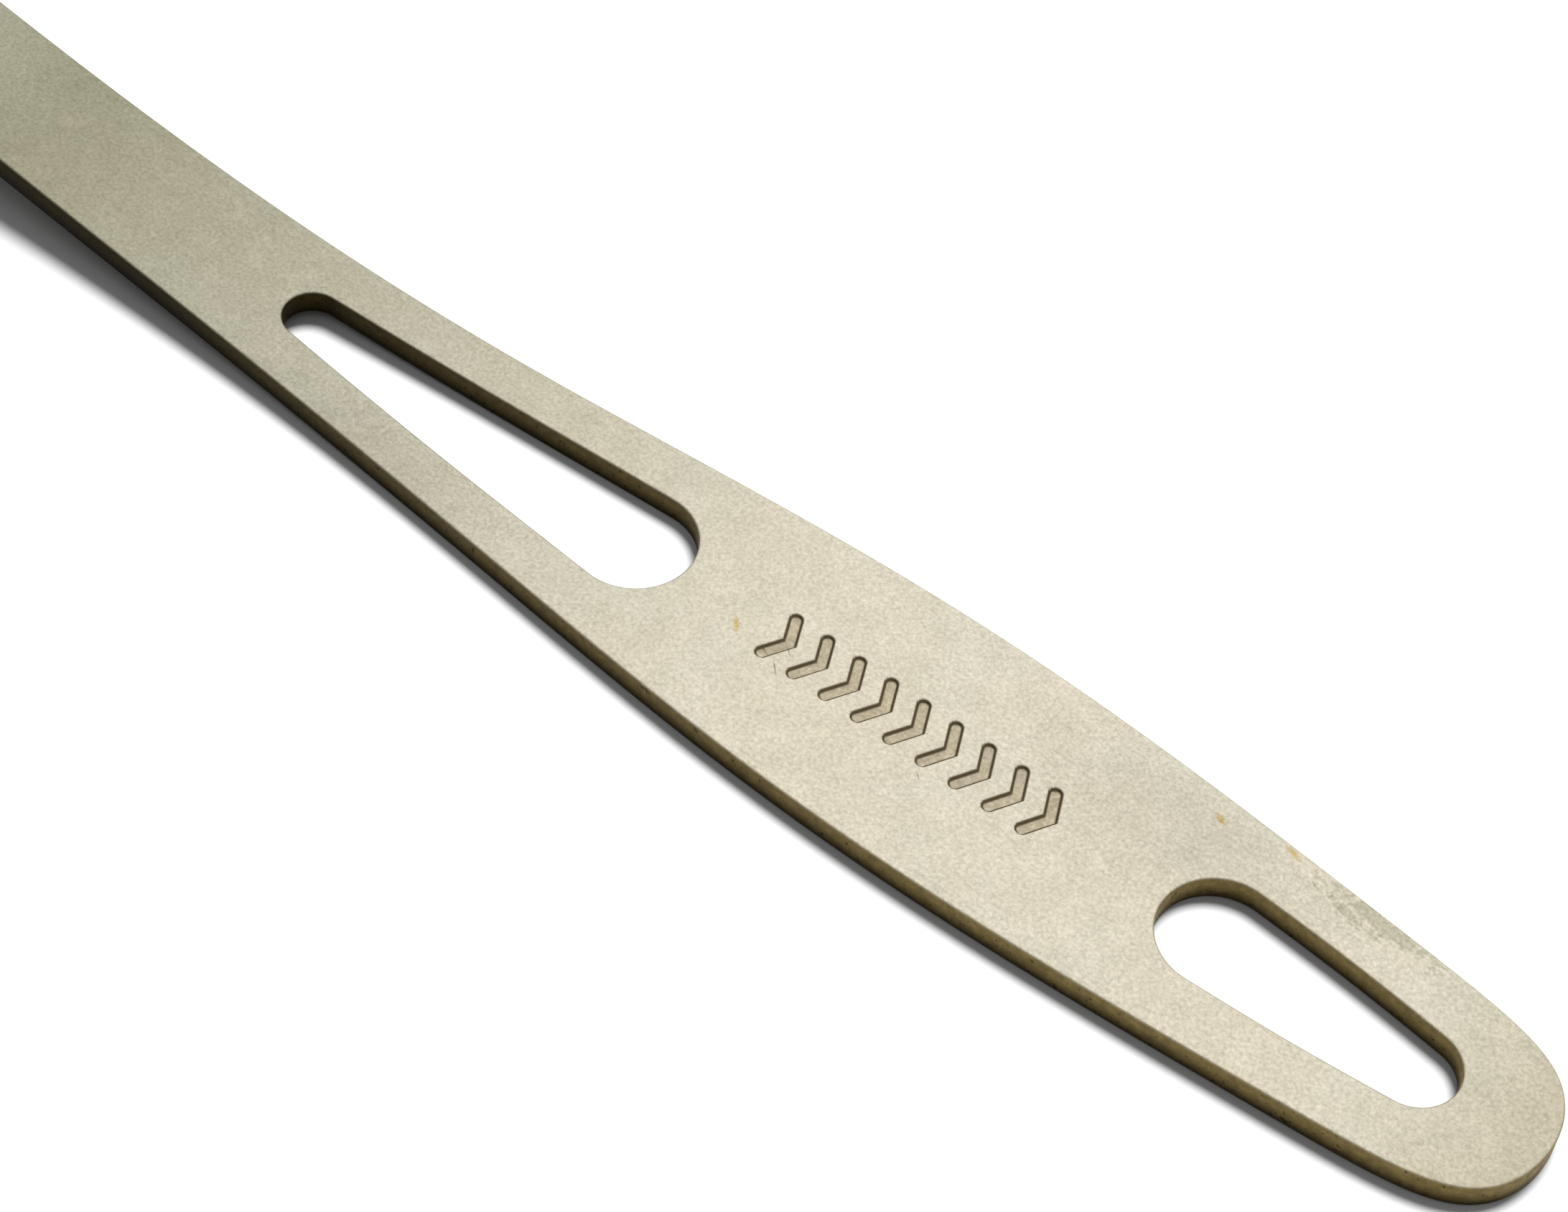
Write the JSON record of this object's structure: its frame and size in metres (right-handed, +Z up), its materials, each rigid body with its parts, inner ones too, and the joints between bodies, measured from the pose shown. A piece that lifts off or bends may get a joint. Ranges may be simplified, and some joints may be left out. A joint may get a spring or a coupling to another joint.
{
  "type": "camping spork",
  "caption": "Flat-handled camping spork pressed from bead-blasted titanium sheet, with tapered slots in the handle, a bent neck and a shallow bowl with short tines.",
  "frame": {"origin": "on the surface that the spork lies on, under the middle of its bounding box", "axes": "+X along the handle towards its hanging tip, +Y across the handle, +Z up out of the bowl"},
  "size_m": [0.1682, 0.0388, 0.0106],
  "materials": {
    "titanium": "bead-blasted satin titanium, champagne grey"
  },
  "bodies": {
    "root": {"titanium_spork": "titanium"}
  },
  "joints": []
}
